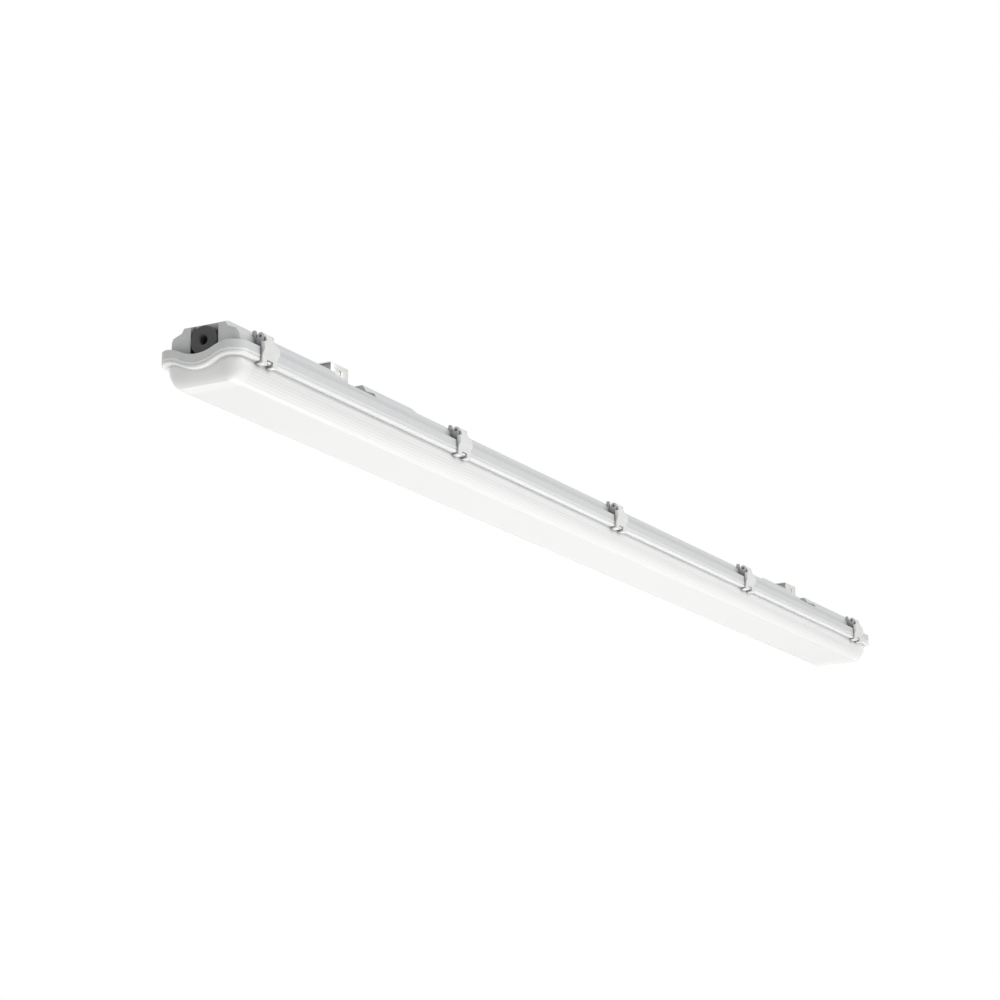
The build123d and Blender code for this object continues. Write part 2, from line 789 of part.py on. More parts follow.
# Live and neutral leave the terminal block level, lie near the tray and rise into the driver
def supply_wires():
    z = tray_top + terminal_hole_height
    low = tray_top + 2 * wire_radius
    start = left_end + terminal_start + terminal_length
    entry = driver_floor + driver_slot_sill + driver_slot_height / 2
    run = driver_left - start
    down_share, out_share, in_share, up_share = 0.2, 0.45, 0.75, 0.92
    wires = []
    for side in (-1, 1):
        y0, y1 = side * terminal_pole_pitch, side * wire_spread
        wires.append(wire([
            (start - wire_tail, y0, z), (start + down_share * run, y0, z),
            (start + out_share * run, y0 + side * wire_radius, low),
            (start + in_share * run, (y0 + y1) / 2, low),
            (start + up_share * run, y1, entry), (driver_left + wire_tail, y1, entry),
        ], wire_radius))
    return wires


def earth_place():
    return left_end + earth_start, earth_offset


def earth_lug():
    x, y = earth_place()
    bottom, top = tray_top, tray_top + earth_plate
    ring = bar_z(earth_ring_radius, x, y, (bottom, top))
    barrel_x = x - earth_ring_radius - earth_barrel_length / 2
    half = wire_radius + earth_plate
    reach_x = (barrel_x - earth_barrel_length / 2, barrel_x + earth_barrel_length / 2)
    ring += block((reach_x[1] - earth_plate, x), (y - half, y + half), (bottom, top))
    barrel = block(reach_x, (y - half, y + half), (bottom, bottom + 2 * half))
    z = bottom + half
    ends = (reach_x[0] - overrun, reach_x[1] - earth_plate)
    barrel -= bar_x(wire_radius + screw_clearance, ends, y, z)
    return ring + barrel - bar_z(earth_screw_radius + screw_clearance, x, y, (bottom - overrun, top + overrun))


def earth_wire():
    x, y = earth_place()
    start = left_end + terminal_start + terminal_length
    z0 = tray_top + terminal_hole_height
    z1 = tray_top + wire_radius + earth_plate
    end = x - earth_ring_radius - earth_barrel_length
    run = end - start
    leave_share, arrive_share = 0.25, 0.72
    return wire([
        (start - wire_tail, 0, z0), (start + leave_share * run, 0, z0),
        (start + arrive_share * run, y, z1), (end + wire_tail, y, z1),
    ], wire_radius)


def earth_screw():
    x, y = earth_place()
    sizes = earth_screw_radius, earth_head_radius, earth_head_height, 4 * tray_sheet
    return screw(*sizes, x, y, tray_top + earth_plate, 1)


# Two leads come out of the driver and down through the tray between two boards
def led_wires():
    entry = driver_floor + driver_slot_sill + driver_slot_height / 2
    low = board_bottom - feed_height / 2
    ends = (driver_right - wire_tail, feed_start + wire_tail / 2)
    leads = []
    for side in (-1, 1):
        y = feed_offset + side * lead_spread
        route = [(ends[0], y, entry), (lead_hole_x, y, entry), (lead_hole_x, y, low), (ends[1], y, low)]
        leads.append(wire(route, lead_radius))
    return leads


def pieces():
    made = {
        "housing": housing(),
        "gasket": gasket(),
        "diffuser": diffuser(),
        "clip_pins": clip_pins(),
        "bracket_left": bracket(bracket_middles[0]),
        "bracket_right": bracket(bracket_middles[1]),
        "cable_grommet": cable_grommet(),
        "blanking_plug": entry_rubber(1),
        "gear_tray": gear_tray(),
        "tray_screws": tray_screws(),
        "board_screws": board_screws(),
        "led_packages": led_packages(),
        "link_connectors": link_connectors(),
        "feed_connector": feed_connector(),
        "driver_base": driver_base(),
        "driver_cover": driver_cover(),
        "driver_board": driver_board(),
        "driver_screws": driver_screws(),
        "terminal_block": terminal_block(),
        "terminal_screws": terminal_screws(),
        "earth_wire": earth_wire(),
        "earth_lug": earth_lug(),
        "earth_screw": earth_screw(),
    }
    made["supply_wire_neutral"], made["supply_wire_live"] = supply_wires()
    made["led_wire_negative"], made["led_wire_positive"] = led_wires()
    for name, side in (("front", -1), ("rear", 1)):
        for i, x in enumerate(clip_places):
            made[f"clip_{name}_{i + 1}"] = clip(x, side)
    for i, start in enumerate(board_starts):
        made[f"led_board_{i + 1}"] = led_board(start)
    return made


def main():
    os.makedirs("parts", exist_ok=True)
    to_ceiling = Pos(-mount_middle, 0, -bracket_top)
    for name, made in pieces().items():
        solids = made if isinstance(made, list) else made.solids()
        solids = [solid for item in solids for solid in item.solids()]
        shape = Compound(children=[to_ceiling * solid for solid in solids])
        export_step(shape, f"parts/{name}.step")
        print(name, len(solids), "solids")
    print("ceiling holes apart", bracket_middles[1] - bracket_middles[0])


main()
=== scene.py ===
import bpy
import bmesh
import json
import math
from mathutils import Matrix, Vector


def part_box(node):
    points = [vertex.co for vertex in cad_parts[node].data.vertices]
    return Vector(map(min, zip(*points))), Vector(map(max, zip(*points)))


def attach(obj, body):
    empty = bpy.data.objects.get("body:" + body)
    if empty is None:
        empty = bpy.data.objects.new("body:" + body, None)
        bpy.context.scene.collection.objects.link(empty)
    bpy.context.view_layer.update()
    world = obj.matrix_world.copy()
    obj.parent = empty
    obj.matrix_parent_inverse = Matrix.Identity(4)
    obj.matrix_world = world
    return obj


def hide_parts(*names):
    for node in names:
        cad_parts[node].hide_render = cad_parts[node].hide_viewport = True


mm = 0.001        # the scene is in metres, and sizes below are in millimetres

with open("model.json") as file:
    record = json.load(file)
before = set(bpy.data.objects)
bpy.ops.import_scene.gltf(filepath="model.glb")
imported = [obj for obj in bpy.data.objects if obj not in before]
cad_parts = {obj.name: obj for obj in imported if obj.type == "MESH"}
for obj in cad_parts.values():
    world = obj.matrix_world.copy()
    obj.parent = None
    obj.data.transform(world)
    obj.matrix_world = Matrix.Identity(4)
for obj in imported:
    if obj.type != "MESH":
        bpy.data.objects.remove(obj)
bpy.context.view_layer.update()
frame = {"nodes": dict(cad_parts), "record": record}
nodes = frame["nodes"]
print("frame loaded,", len(nodes), "nodes")


# sRGB hex to linear light
def hexToLinear(code):
    channels = [int(code[i:i + 2], 16) / 255 for i in (1, 3, 5)]
    return [c / 12.92 if c <= 0.04045 else ((c + 0.055) / 1.055) ** 2.4 for c in channels] + [1]


# Adds one node; settings go to its sockets or its own properties, links name its sockets
def addNode(tree, kind, settings={}, links={}):
    node = tree.nodes.new(kind)
    for key, value in settings.items():
        if isinstance(key, int) or key in node.inputs:
            node.inputs[key].default_value = value
        else:
            setattr(node, key, value)
    for key, socket in links.items():
        tree.links.new(socket, node.inputs[key])
    return node


# A new material with an empty tree, and the Object coordinates its patterns read
def startMaterial(name):
    material = bpy.data.materials.new(name)
    material.use_nodes = True
    tree = material.node_tree
    tree.nodes.clear()
    coords = addNode(tree, "ShaderNodeTexCoord")
    return material, tree, coords.outputs["Object"]


def finishMaterial(material, tree, shader):
    addNode(tree, "ShaderNodeOutputMaterial", links={"Surface": shader.outputs[0]})
    return material


def featureScale(size):
    return 1 / (size * mm)      # a texture's scale for features of this many millimetres


# Mixes two colours by a factor; each is a hex code or a socket
def addMix(tree, factor, low, high):
    mix = addNode(tree, "ShaderNodeMix", {"data_type": "RGBA"}, {"Factor": factor})
    for key, colour in (("A", low), ("B", high)):
        if isinstance(colour, str):
            mix.inputs[key].default_value = hexToLinear(colour)
        else:
            tree.links.new(colour, mix.inputs[key])
    return mix.outputs["Result"]


# How open a place is where the painted shade begins to thin out, and where none is left
paintedShadeLimits = {"samples": 8, "dusty": 0.3, "clean": 0.9}


# Painted shade: the colour darkens towards a shade tone in narrow gaps and under overhangs, out to a distance
# in millimetres
def addPaintedShade(tree, tone, dust, distance):
    nearness = addNode(tree, "ShaderNodeAmbientOcclusion", {
        "samples": paintedShadeLimits["samples"], "Distance": distance * mm})
    openness = addNode(tree, "ShaderNodeMapRange", {
        "From Min": paintedShadeLimits["dusty"], "From Max": paintedShadeLimits["clean"]}, {"Value": nearness.outputs["AO"]})
    return addMix(tree, openness.outputs[0], dust, tone)


# Noise with features of a size in millimetres
def addNoise(tree, place, size, detail, distortion=0):
    noise = addNode(tree, "ShaderNodeTexNoise", {
        "Scale": featureScale(size), "Detail": detail, "Distortion": distortion}, {"Vector": place})
    return noise.outputs["Fac"]


# A value that goes from low to high as its factor goes from 0 to 1
def addRange(tree, factor, low, high):
    spread = addNode(tree, "ShaderNodeMapRange", {"To Min": low, "To Max": high}, {"Value": factor})
    return spread.outputs[0]


# Surface relief of a depth in millimetres
def addRelief(tree, height, strength, depth):
    bump = addNode(tree, "ShaderNodeBump", {"Strength": strength, "Distance": depth * mm}, {"Height": height})
    return bump.outputs[0]


# One sum on sockets or numbers
def addMath(tree, operation, first, second=0):
    node = addNode(tree, "ShaderNodeMath", {"operation": operation})
    for i, value in enumerate((first, second)):
        if isinstance(value, (int, float)):
            node.inputs[i].default_value = value
        else:
            tree.links.new(value, node.inputs[i])
    return node.outputs[0]


# Camera: where the photograph was taken from, below and in front of the cable entry end
viewpoint = {
    "place": (-2742.27, -1430.58, -820.14),
    "aim": (0.84251, 0.4751, 0.25388),
    "lens": 97.415,
    "sensor": 36,
    "nearest": 100,
    "farthest": 60000,
}


def makeCamera():
    data = bpy.data.cameras.new("camera")
    data.lens = viewpoint["lens"]
    data.sensor_width = viewpoint["sensor"]
    data.clip_start = viewpoint["nearest"] * mm
    data.clip_end = viewpoint["farthest"] * mm
    camera = bpy.data.objects.new("camera", data)
    camera.location = Vector(viewpoint["place"]) * mm
    camera.rotation_mode = "QUATERNION"
    camera.rotation_quaternion = Vector(viewpoint["aim"]).to_track_quat("-Z", "Y")
    bpy.context.collection.objects.link(camera)
    bpy.context.scene.camera = camera


makeCamera()
print("camera placed")


# Studio: a white room that the camera sees as paper white, with soft lamps
studio = {
    "paper": "#FFFFFF",
    "fill": 0.54,               # light from all round
    "floorDrop": 2400,          # a normal ceiling height below the fitting
    "floorSize": 120000,
    "floorColour": "#F2F2F0",
    "floorGlow": 0.52,          # to the camera only, so that it looks as white as the room
    "lamps": [
        # name, place, aim, width, height, watts
        ("lowLamp", (600, 500, -2300), (100, 0, -30), 2800, 1200, 43),
        ("nearLamp", (-500, -300, -2300), (-200, 0, -30), 2600, 1600, 23),
        ("highLamp", (-200, -2400, 900), (0, 0, -30), 2600, 1400, 25),
    ],
}


def makeWorld():
    world = bpy.data.worlds.new("room")
    bpy.context.scene.world = world
    world.use_nodes = True
    tree = world.node_tree
    tree.nodes.clear()
    path = addNode(tree, "ShaderNodeLightPath")
    seen = addMath(tree, "MAXIMUM", path.outputs["Is Camera Ray"], path.outputs["Is Glossy Ray"])
    seen = addMath(tree, "MAXIMUM", seen, path.outputs["Is Transmission Ray"])
    light = addNode(tree, "ShaderNodeBackground", {"Color": hexToLinear(studio["paper"])},
                    {"Strength": addRange(tree, seen, studio["fill"], 1)})
    addNode(tree, "ShaderNodeOutputWorld", links={"Surface": light.outputs[0]})


# The floor is paper white to the camera where no shadow falls, and can't be seen from below
def makeFloor():
    bpy.ops.mesh.primitive_plane_add(
        size=studio["floorSize"] * mm, location=(0, 0, -studio["floorDrop"] * mm))
    floor = bpy.context.object
    floor.name = "floor"
    material, tree, _ = startMaterial("paperFloor")
    path = addNode(tree, "ShaderNodeLightPath")
    side = addNode(tree, "ShaderNodeNewGeometry")
    matt = addNode(tree, "ShaderNodeBsdfDiffuse", {"Color": hexToLinear(studio["floorColour"])})
    glow = addNode(tree, "ShaderNodeEmission", {"Strength": studio["floorGlow"]})
    lit = addNode(tree, "ShaderNodeAddShader", links={0: matt.outputs[0], 1: glow.outputs[0]})
    top = addNode(tree, "ShaderNodeMixShader", links={
        0: path.outputs["Is Camera Ray"], 1: matt.outputs[0], 2: lit.outputs[0]})
    clear = addNode(tree, "ShaderNodeBsdfTransparent")
    both = addNode(tree, "ShaderNodeMixShader", links={
        0: side.outputs["Backfacing"], 1: top.outputs[0], 2: clear.outputs[0]})
    floor.data.materials.append(finishMaterial(material, tree, both))


def makeLamps():
    for name, place, aim, wide, high, watts in studio["lamps"]:
        data = bpy.data.lights.new(name, "AREA")
        data.shape = "RECTANGLE"
        data.size = wide * mm
        data.size_y = high * mm
        data.energy = watts
        lamp = bpy.data.objects.new(name, data)
        lamp.location = Vector(place) * mm
        lamp.rotation_mode = "QUATERNION"
        lamp.rotation_quaternion = (Vector(aim) - Vector(place)).to_track_quat("-Z", "Y")
        bpy.context.collection.objects.link(lamp)


makeWorld()
makeFloor()
makeLamps()
print("studio lit")


# Housing: glass-filled polyester, hot pressed, so it is satin with a fine uneven grain
housingFinish = {
    "colour": "#E3E4E5", "fleck": "#D6D8D9", "fleckSize": 6, "fleckDetail": 6,
    # painted shade: the housing's colour darkens to this tone in gaps, round the lugs and under the ledge
    "dust": "#434445", "dustReach": 16,
    "grain": 1.6, "grainDetail": 3, "grainStrength": 0.3, "grainDepth": 0.1,
    "smooth": 0.4, "rough": 0.54, "ior": 1.54,
}


def pressedPolyester():
    finish = housingFinish
    material, tree, place = startMaterial("pressedPolyester")
    fleck = addNoise(tree, place, finish["fleckSize"], finish["fleckDetail"])
    grain = addNoise(tree, place, finish["grain"], finish["grainDetail"])
    tone = addMix(tree, fleck, finish["fleck"], finish["colour"])
    shader = addNode(tree, "ShaderNodeBsdfPrincipled", {"IOR": finish["ior"]}, {
        "Base Color": addPaintedShade(tree, tone, finish["dust"], finish["dustReach"]),
        "Roughness": addRange(tree, fleck, finish["smooth"], finish["rough"]),
        "Normal": addRelief(tree, grain, finish["grainStrength"], finish["grainDepth"])})
    return finishMaterial(material, tree, shader)


# Diffuser: opal polycarbonate, moulded glossy. Light sinks in a little, and the ridges
# inside show through as fine lines along it, which stop before the ends
diffuserFinish = {
    # painted shade: the colour darkens towards the shade tone under the flange and in gaps
    "colour": "#F8F8F7", "valley": "#EFF0F0", "dust": "#CFD1D2", "dustReach": 14,
    "roughness": 0.22, "ior": 1.585, "milk": 0.3, "milkDepth": 2.5,
    "linePitch": 3.2, "lineEnd": 33.0, "lineFade": 2.0,
    "bottomHalf": 30.5, "acrossShare": 0.6, "upShare": 0.847,   # to measure along the section
    "cloudSize": 25, "cloudDetail": 2, "cloudStrength": 0.15, "cloudDepth": 0.2,
}


def opalPolycarbonate():
    finish = diffuserFinish
    material, tree, place = startMaterial("opalPolycarbonate")
    low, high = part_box("diffuser")
    axes = addNode(tree, "ShaderNodeSeparateXYZ", links={"Vector": place})
    across = addMath(tree, "ABSOLUTE", axes.outputs["Y"])
    flat = addMath(tree, "MINIMUM", across, finish["bottomHalf"] * mm)
    beyond = addMath(tree, "MULTIPLY", addMath(tree, "SUBTRACT", across, flat), finish["acrossShare"])
    up = addMath(tree, "MULTIPLY", addMath(tree, "SUBTRACT", axes.outputs["Z"], low.z), finish["upShare"])
    girth = addMath(tree, "ADD", flat, addMath(tree, "ADD", beyond, up))
    turns = addMath(tree, "MULTIPLY", girth, 2 * math.pi * featureScale(finish["linePitch"]))
    wave = addNode(tree, "ShaderNodeMapRange", {"From Min": -1, "From Max": 1},
                   {"Value": addMath(tree, "COSINE", turns)})
    middle = (low.x + high.x) / 2
    along = addMath(tree, "ABSOLUTE", addMath(tree, "SUBTRACT", axes.outputs["X"], middle))
    ridged = (high.x - low.x) / 2 - finish["lineEnd"] * mm
    inside = addNode(tree, "ShaderNodeMapRange", {
        "From Min": ridged, "From Max": ridged + finish["lineFade"] * mm, "To Min": 1, "To Max": 0},
        {"Value": along})
    shade = addMath(tree, "MULTIPLY", wave.outputs[0], inside.outputs[0])
    tone = addMix(tree, shade, finish["colour"], finish["valley"])
    cloud = addNoise(tree, place, finish["cloudSize"], finish["cloudDetail"])
    shader = addNode(tree, "ShaderNodeBsdfPrincipled", {
        "Roughness": finish["roughness"], "IOR": finish["ior"], "Subsurface Weight": finish["milk"],
        "Subsurface Scale": finish["milkDepth"] * mm, "Subsurface Radius": (1, 1, 1)}, {
        "Base Color": addPaintedShade(tree, tone, finish["dust"], finish["dustReach"]),
        "Normal": addRelief(tree, cloud, finish["cloudStrength"], finish["cloudDepth"])})
    return finishMaterial(material, tree, shader)


# Clips: light grey polycarbonate, moulded smooth, with faint flow marks
clipFinish = {
    "colour": "#F1F1F0", "flow": "#E9E9E8", "flowSize": 9, "flowDetail": 4, "flowSwirl": 0.6,
    # painted shade: the clips' colour darkens towards the shade tone in gaps and under the hooks
    "dust": "#7A7B7B", "dustReach": 12,
    "smooth": 0.3, "rough": 0.44, "ior": 1.58,
}


def mouldedPolycarbonate():
    finish = clipFinish
    material, tree, place = startMaterial("mouldedPolycarbonate")
    flow = addNoise(tree, place, finish["flowSize"], finish["flowDetail"], finish["flowSwirl"])
    tone = addMix(tree, flow, finish["flow"], finish["colour"])
    shader = addNode(tree, "ShaderNodeBsdfPrincipled", {"IOR": finish["ior"]}, {
        "Base Color": addPaintedShade(tree, tone, finish["dust"], finish["dustReach"]),
        "Roughness": addRange(tree, flow, finish["smooth"], finish["rough"])})
    return finishMaterial(material, tree, shader)


# Brackets: rolled stainless strip with its brushing along the fixture
steelFinish = {
    "colour": "#DCDBD8", "smooth": 0.24, "rough": 0.42,
    "brushWidth": 0.5, "brushLength": 40, "brushDetail": 4, "brushStrength": 0.1, "brushDepth": 0.05,
}


def brushedStainless():
    finish = steelFinish
    material, tree, place = startMaterial("brushedStainless")
    across = featureScale(finish["brushWidth"])
    stretch = addNode(tree, "ShaderNodeMapping", {
        "Scale": (featureScale(finish["brushLength"]), across, across)}, {"Vector": place})
    lines = addNode(tree, "ShaderNodeTexNoise", {"Scale": 1, "Detail": finish["brushDetail"]},
                    {"Vector": stretch.outputs[0]}).outputs["Fac"]
    shader = addNode(tree, "ShaderNodeBsdfPrincipled", {
        "Base Color": hexToLinear(finish["colour"]), "Metallic": 1}, {
        "Roughness": addRange(tree, lines, finish["smooth"], finish["rough"]),
        "Normal": addRelief(tree, lines, finish["brushStrength"], finish["brushDepth"])})
    return finishMaterial(material, tree, shader)


# Pins of the clips: drawn steel, left dark and dull
pinFinish = {
    "colour": "#6E6D6A", "streak": "#555451", "streakSize": 1.5, "streakDetail": 3,
    "smooth": 0.4, "rough": 0.6,
}


def drawnSteel():
    finish = pinFinish
    material, tree, place = startMaterial("drawnSteel")
    streak = addNoise(tree, place, finish["streakSize"], finish["streakDetail"])
    shader = addNode(tree, "ShaderNodeBsdfPrincipled", {"Metallic": 1}, {
        "Base Color": addMix(tree, streak, finish["streak"], finish["colour"]),
        "Roughness": addRange(tree, streak, finish["smooth"], finish["rough"])})
    return finishMaterial(material, tree, shader)


# Cable entry and plug: moulded EPDM rubber, dull and dark, with a little bloom on it
rubberFinish = {
    "colour": "#454546", "bloom": "#565657", "bloomSize": 5, "bloomDetail": 5,
    "grain": 0.8, "grainDetail": 3, "grainStrength": 0.2, "grainDepth": 0.05, "roughness": 0.62,
}


def mouldedRubber():
    finish = rubberFinish
    material, tree, place = startMaterial("mouldedRubber")
    bloom = addNoise(tree, place, finish["bloomSize"], finish["bloomDetail"])
    grain = addNoise(tree, place, finish["grain"], finish["grainDetail"])
    shader = addNode(tree, "ShaderNodeBsdfPrincipled", {"Roughness": finish["roughness"]}, {
        "Base Color": addMix(tree, bloom, finish["colour"], finish["bloom"]),
        "Normal": addRelief(tree, grain, finish["grainStrength"], finish["grainDepth"])})
    return finishMaterial(material, tree, shader)


# The pieces inside. Each finish has two tones in patches, a roughness that follows them
# and a surface relief: foam cells, powder coat's orange peel, zinc spangle, solder mask
# weave, phosphor grains, moulded nylon, laminate weave, turned brass and extruded PVC
innerFinishes = {
    # slot: name, tone, second tone, patch mm, smooth, rough, relief mm, metallic
    "seal_foam": ("foamedPolyurethane", "#D3D3CD", "#BEBEB7", 1.4, 0.82, 0.95, 0.3, 0),
    "tray_enamel": ("whitePowderCoat", "#F2F2EF", "#EBEBE8", 2.2, 0.34, 0.46, 0.06, 0),
    "zinc_steel": ("zincPlate", "#CDD1D3", "#AFB4B8", 3.5, 0.26, 0.48, 0.02, 1),
    "board_white": ("whiteSolderMask", "#F4F4EF", "#E9EAE4", 1.1, 0.28, 0.4, 0.03, 0),
    "led_phosphor": ("phosphorInSilicone", "#EAD878", "#D9BE55", 0.4, 0.3, 0.5, 0.05, 0),
    "connector_white": ("mouldedNylon", "#EFEEE7", "#E3E2DA", 4.0, 0.38, 0.52, 0.03, 0),
    "driver_enamel": ("bakedEnamel", "#E7E7E4", "#DDDDDA", 5.0, 0.32, 0.44, 0.03, 0),
    "circuit_green": ("glassEpoxyLaminate", "#1F6B3A", "#17552D", 0.9, 0.28, 0.42, 0.03, 0),
    "brass_screw": ("turnedBrass", "#CBAE63", "#AD8F48", 1.2, 0.2, 0.38, 0.02, 1),
    "wire_blue": ("bluePvc", "#2F5FA8", "#28528F", 2.5, 0.32, 0.45, 0.03, 0),
    "wire_brown": ("brownPvc", "#5E3A22", "#4D2F1B", 2.5, 0.32, 0.45, 0.03, 0),
    "wire_green": ("greenPvc", "#7DA02C", "#6A8924", 2.5, 0.32, 0.45, 0.03, 0),
    "wire_black": ("blackPvc", "#1C1C1C", "#262626", 2.5, 0.32, 0.45, 0.03, 0),
    "wire_red": ("redPvc", "#A8201E", "#8F1A18", 2.5, 0.32, 0.45, 0.03, 0),
}
innerPatches = {"detail": 4, "strength": 0.4}


def innerFinish(name, tone, second, patch, smooth, rough, relief, metallic):
    material, tree, place = startMaterial(name)
    patches = addNoise(tree, place, patch, innerPatches["detail"])
    shader = addNode(tree, "ShaderNodeBsdfPrincipled", {"Metallic": metallic}, {
        "Base Color": addMix(tree, patches, second, tone),
        "Roughness": addRange(tree, patches, rough, smooth),
        "Normal": addRelief(tree, patches, innerPatches["strength"], relief)})
    return finishMaterial(material, tree, shader)


finishes = {
    "housing_grp": pressedPolyester(),
    "diffuser_pc": opalPolycarbonate(),
    "clip_plastic": mouldedPolycarbonate(),
    "stainless": brushedStainless(),
    "entry_rubber": mouldedRubber(),
}
for slotName, values in innerFinishes.items():
    finishes[slotName] = innerFinish(*values)
slotOf = {row["node"]: row["material_slot"] for row in frame["record"]["subparts"]}
for nodeName, slotName in slotOf.items():
    for slot in nodes[nodeName].material_slots:
        slot.material = finishes[slotName]

# The pins share the brackets' slot but are drawn, not rolled
nodes["clip_pins"].material_slots[0].material = drawnSteel()
print("finishes on")


# Shades a mesh smooth with sharp edges where its faces turn by more than an angle,
# and makes it a piece that stands for some nodes and moves with a body
def addPiece(name, mesh, sharpAngle, body, slotName, replaced):
    bmesh.ops.recalc_face_normals(mesh, faces=mesh.faces)
    for face in mesh.faces:
        face.smooth = True
    for edge in mesh.edges:
        edge.smooth = edge.calc_face_angle(0) < math.radians(sharpAngle)
    data = bpy.data.meshes.new(name)
    mesh.to_mesh(data)
    mesh.free()
    data.materials.append(finishes[slotName])
    piece = bpy.data.objects.new(name, data)
    bpy.context.collection.objects.link(piece)
    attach(piece, body)
    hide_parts(*replaced)


# Rounds edges of a mesh, by a size in millimetres and no more than fits between them
def roundEdges(mesh, edges, size, steps):
    bmesh.ops.bevel(mesh, geom=edges, offset=size * mm, offset_type="OFFSET", affect="EDGES",
                    segments=steps, profile=0.5, clamp_overlap=True, material=-1)


# Diffuser. Insets are from the flange's edge and heights from the flat bottom, where the
# rim is level. The flange dips with the rim, and has a tongue for the seal on it, two
# beads round its edge and a tooth at each clip
diffuserShape = {
    "width": 97.0,
    "flangeTop": 28.2,
    "flangeBottom": 22.3,
    "cornerRadius": 18.0,
    "leastRadius": 2.5,
    "dip": 9.0,
    "dipHalfSpan": 37.5,
    "wall": 2.0,
    "tubInset": 6.0,
    "tubTaper": 12.0,
    "tubEndTaper": 8.5,
    "tubRadius": 15.0,
    "bottomRadius": 5.0,
    "roundShare": 0.1,           # of the taper, spent in rounding into the flat bottom
    "sidePower": 2.4,
    "roundPower": 9,
    "tongue": [(6.75, 28.2), (6.75, 30.9), (3.75, 30.9), (3.75, 28.2)],
    "edge": [(0.4, 28.48), (0, 28.45), (0, 26.0), (0.5, 25.6),
             (0.5, 25.2), (0, 24.8), (0, 23.2), (0.9, 22.3)],
    "cornerSteps": 12,
    "endSteps": 28,
    "tubSteps": 14,
    "toothSize": (6.0, 3.8, 1.7),
    "toothReach": 1.8,
    "toothRound": 0.3,
    "toothSteps": 2,
    "ridgePitch": 3.2,
    "ridgeHeight": 0.7,
    "ridgeRoot": 0.5,            # into the wall, so that the ridges are joined to it
    "ridgeBacking": 1.0,
    "ridgeEnd": 33.0,
    "sideSamples": 40,
    "tolerance": 0.01,
    "sharpAngle": 38,
}
diffuserLow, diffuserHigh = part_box("diffuser")
halfLength = (diffuserHigh.x - diffuserLow.x) / 2 / mm
halfWidth = diffuserShape["width"] / 2


# From millimetres about the diffuser's middle and above its bottom, to the scene
def diffuserPoint(x, y, z):
    return Vector((x * mm + (diffuserLow.x + diffuserHigh.x) / 2, y * mm, z * mm + diffuserLow.z))


# How far the rim lies lower at a place across it: two arcs each way, level at the ends
def rimDip(y):
    run, drop = diffuserShape["dipHalfSpan"] / 2, diffuserShape["dip"] / 2
    radius = (run ** 2 + drop ** 2) / (2 * drop)
    fromMiddle = min(abs(y), 2 * run)
    fromEdge = 2 * run - fromMiddle
    if fromEdge < run:
        return radius - math.sqrt(radius ** 2 - fromEdge ** 2)
    return 2 * drop - radius + math.sqrt(radius ** 2 - fromMiddle ** 2)


# Places round the rounded plan: signs of a corner with an angle, or of an end with a share
def planSteps():
    steps = []
    quarter = math.pi / 2
    corners, ends = diffuserShape["cornerSteps"], diffuserShape["endSteps"]
    for turn, (sideX, sideY) in enumerate([(1, -1), (1, 1), (-1, 1), (-1, -1)]):
        steps += [(sideX, sideY, quarter * (turn - 1 + i / corners), 0) for i in range(corners + 1)]
        if sideX == -sideY:
            steps += [(sideX, 0, None, sideX * (2 * i / ends - 1)) for i in range(1, ends)]
    return steps


def planPoint(step, inset, radius, endInset=None):
    sideX, sideY, angle, share = step
    outX = halfLength - (inset if endInset is None else endInset)
    straightX, straightY = outX - radius, halfWidth - inset - radius
    if angle is None:
        return sideX * outX, share * straightY
    return sideX * straightX + radius * math.cos(angle), sideY * straightY + radius * math.sin(angle)


# The share of its taper that the tub has drawn in at a share of its depth
def tubTaperAt(depth):
    rounding = diffuserShape["roundShare"]
    side = (1 - rounding) * depth ** diffuserShape["sidePower"]
    return side + rounding * depth ** diffuserShape["roundPower"]


def tubPlace(step, wall, share):
    shape = diffuserShape
    _, y = planPoint(step, shape["tubInset"] + wall, shape["tubRadius"] - wall)
    top = (shape["flangeTop"] if wall else shape["flangeBottom"]) - rimDip(y)
    z = top + (wall - top) * share
    taper = tubTaperAt(min(max((shape["flangeBottom"] - z) / (shape["flangeBottom"] - wall), 0), 1))
    radius = shape["tubRadius"] + taper * (shape["bottomRadius"] - shape["tubRadius"]) - wall
    foot = shape["tubInset"] + wall
    x, y = planPoint(step, foot + taper * shape["tubTaper"], radius, foot + taper * shape["tubEndTaper"])
    return x, y, z


def rimPlace(step, inset, height):
    x, y = planPoint(step, inset, max(diffuserShape["cornerRadius"] - inset, diffuserShape["leastRadius"]))
    return x, y, height - rimDip(y)


def addTooth(mesh, x, side):
    size, reachOut = diffuserShape["toothSize"], diffuserShape["toothReach"]
    made = bmesh.ops.create_cube(mesh, size=1)["verts"]
    outward = halfWidth + reachOut - size[1] / 2
    centre = diffuserPoint(0, side * outward, diffuserShape["flangeBottom"] + size[2] / 2)
    for vertex in made:
        vertex.co = Vector((x, centre.y, centre.z)) + Vector([c * s * mm for c, s in zip(vertex.co, size)])
    edges = {edge for vertex in made for edge in vertex.link_edges}
    roundEdges(mesh, list(edges), diffuserShape["toothRound"], diffuserShape["toothSteps"])


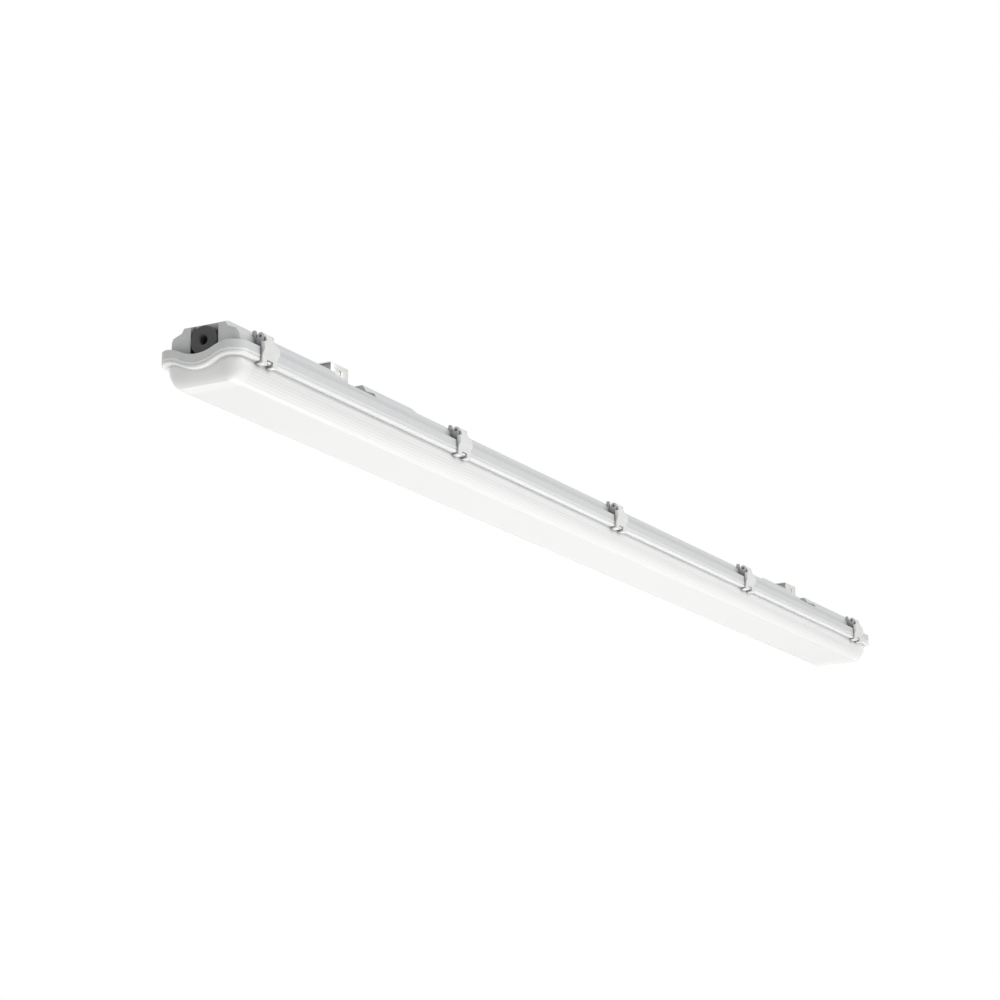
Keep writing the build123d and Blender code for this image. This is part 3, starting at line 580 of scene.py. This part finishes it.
# The inside of the tub's section, from one side down and across to the other, as ridges
def ridgeSection():
    shape = diffuserShape
    wall, samples = shape["wall"], shape["sideSamples"]
    top = shape["flangeBottom"] - wall
    side = []
    for i in range(samples + 1):
        depth = i / samples
        inset = shape["tubInset"] + wall + tubTaperAt(depth) * shape["tubTaper"]
        side.append(Vector((halfWidth - inset, wall + top * (1 - depth))))
    line = side + [Vector((-p.x, p.y)) for p in reversed(side)]
    lengths = [0]
    for start, end in zip(line, line[1:]):
        lengths.append(lengths[-1] + (end - start).length)
    count = 2 * round(lengths[-1] / shape["ridgePitch"])
    points = []
    for i in range(count + 1):
        along = lengths[-1] * i / count
        k = max(j for j in range(len(line) - 1) if lengths[j] <= along)
        run = (line[k + 1] - line[k]).normalized()
        inward = Vector((run.y, -run.x))
        height = shape["ridgeHeight"] if i % 2 else -shape["ridgeRoot"]
        points.append(line[k] + run * (along - lengths[k]) + inward * height)
    return points, line


def makeDiffuser():
    shape = diffuserShape
    mesh = bmesh.new()
    steps = planSteps()
    tubShares = [i / shape["tubSteps"] for i in range(shape["tubSteps"] + 1)]
    rings = [[tubPlace(step, shape["wall"], share) for step in steps] for share in reversed(tubShares)]
    rings += [[rimPlace(step, *place) for step in steps] for place in shape["tongue"] + shape["edge"]]
    rings += [[tubPlace(step, 0, share) for step in steps] for share in tubShares]
    loops = [[mesh.verts.new(diffuserPoint(*place)) for place in ring] for ring in rings]
    for low, high in zip(loops, loops[1:]):
        for i in range(len(steps)):
            j = (i + 1) % len(steps)
            mesh.faces.new((low[i], low[j], high[j], high[i]))
    mesh.faces.new(loops[0])
    mesh.faces.new(loops[-1])
    points, line = ridgeSection()
    half, backing = halfLength - shape["ridgeEnd"], shape["ridgeBacking"]
    backLine = [p - Vector((0, backing)) if abs(p.y - shape["wall"]) < shape["tolerance"] else
                p + Vector((math.copysign(backing, p.x), 0)) for p in line]
    closed = points + list(reversed(backLine))
    ends = [[mesh.verts.new(diffuserPoint(x, p.x, p.y)) for p in closed] for x in (-half, half)]
    for i in range(len(closed)):
        j = (i + 1) % len(closed)
        mesh.faces.new((ends[0][i], ends[0][j], ends[1][j], ends[1][i]))
    for end in ends:
        mesh.faces.new(end)
    for nodeName in nodes:
        if nodeName.startswith("clip_") and nodeName != "clip_pins":
            low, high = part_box(nodeName)
            addTooth(mesh, (low.x + high.x) / 2, 1 if low.y > 0 else -1)
    addPiece("ribbedDiffuser", mesh, shape["sharpAngle"], "luminaire", "diffuser_pc", ["diffuser"])


makeDiffuser()
print("diffuser made")


# Clips, brackets and rubber pieces: the same shapes as their nodes, with small rounds on
# their sharp edges where there is room for them, as moulding and deburring leave
softened = {
    # start of the nodes' names: new name, round in mm, steps in a round
    "clip_front": ("clipFront", 0.45, 2),
    "clip_rear": ("clipRear", 0.45, 2),
    "bracket_": ("bracket", 0.25, 2),
    "cable_grommet": ("cableGrommet", 0.6, 3),
    "blanking_plug": ("blankingPlug", 0.6, 3),
}
softening = {"mergeGap": 0.001, "flatAngle": 1.0, "sharpAngle": 32.0}     # mm, degrees


def soften(nodeName, newName, roundSize, steps, body):
    mesh = bmesh.new()
    mesh.from_mesh(nodes[nodeName].data)
    bmesh.ops.remove_doubles(mesh, verts=mesh.verts, dist=softening["mergeGap"] * mm)
    bmesh.ops.dissolve_limit(mesh, angle_limit=math.radians(softening["flatAngle"]),
                             verts=mesh.verts, edges=mesh.edges)
    sharp = [e for e in mesh.edges if e.calc_face_angle(0) > math.radians(softening["sharpAngle"])]
    roundEdges(mesh, sharp, roundSize, steps)
    addPiece(newName, mesh, softening["sharpAngle"], body, slotOf[nodeName], [nodeName])


bodyOf = {}
for bodyName, held in frame["record"]["behaviour"]["bodies"].items():
    for nodeName in held:
        bodyOf[nodeName] = bodyName
for start, (newName, roundSize, steps) in softened.items():
    for nodeName in sorted(nodes):
        if nodeName.startswith(start):
            ending = nodeName[len(start):].strip("_").capitalize()
            soften(nodeName, newName + ending, roundSize, steps, bodyOf[nodeName])
print("small pieces rounded")

bpy.context.scene.view_settings.view_transform = "Standard"
